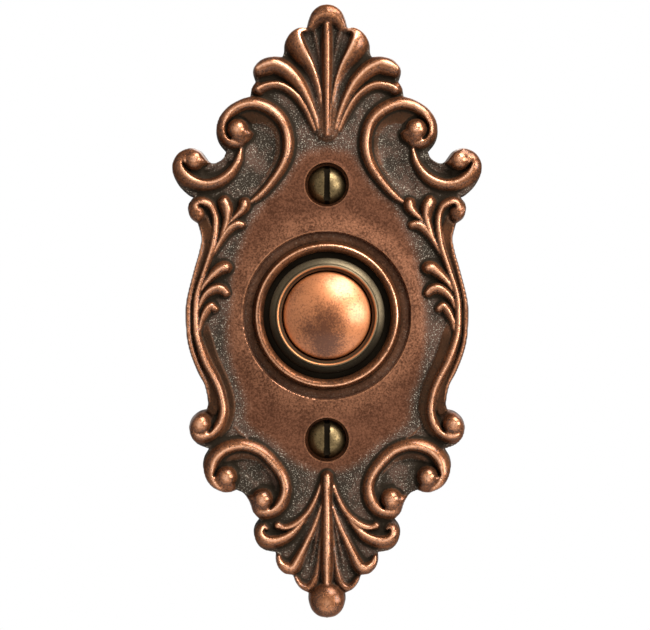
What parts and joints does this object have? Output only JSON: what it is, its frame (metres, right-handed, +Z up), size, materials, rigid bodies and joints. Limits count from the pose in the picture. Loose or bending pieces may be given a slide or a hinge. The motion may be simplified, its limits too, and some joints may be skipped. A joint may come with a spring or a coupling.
{
  "type": "doorbell push button",
  "caption": "Wall-mounted doorbell push: a cast scrollwork plate with palmette ends, a sprung domed button in a turned sleeve and a contact base behind it.",
  "frame": {"origin": "on the wall plane, on the axis of the button", "axes": "+Z up the plate, +Y into the wall, so the front faces -Y and +X is to the right of the front"},
  "size_m": [0.0644, 0.0323, 0.1264],
  "materials": {
    "plate_copper": "cast, antique copper: dark ground, worn bright crests",
    "screw_brass": "antique brass, turned and slotted",
    "sleeve_bronze": "turned, dark bronze with a worn bead",
    "button_copper": "polished copper, lightly pitted",
    "base_moulding": "moulded, dark and matt",
    "screw_steel": "zinc plated",
    "spring_steel": "drawn wire",
    "contact_bronze": "rolled strip, bright",
    "rivet_silver": "bright contact metal",
    "terminal_brass": "turned, bright"
  },
  "bodies": {
    "plate": {"escutcheon": "plate_copper", "mounting_screws": "screw_brass", "button_sleeve": "sleeve_bronze", "contact_base": "base_moulding", "base_screws": "screw_steel", "return_spring": "spring_steel", "contact_leaf": "contact_bronze", "contact_strip": "contact_bronze", "contact_rivet": "rivet_silver", "terminal_screws": "terminal_brass", "terminal_washers": "terminal_brass", "terminal_nuts": "terminal_brass"},
    "button": {"push_button": "button_copper"}
  },
  "joints": [
    {"name": "button_press", "type": "slide", "parent": "plate", "child": "button", "axis": [0, 1, 0], "range_m": [0, 0.0016], "stiffness_N_per_m": 400, "springref_m": -0.006, "deforming": ["return_spring", "contact_leaf"]}
  ]
}
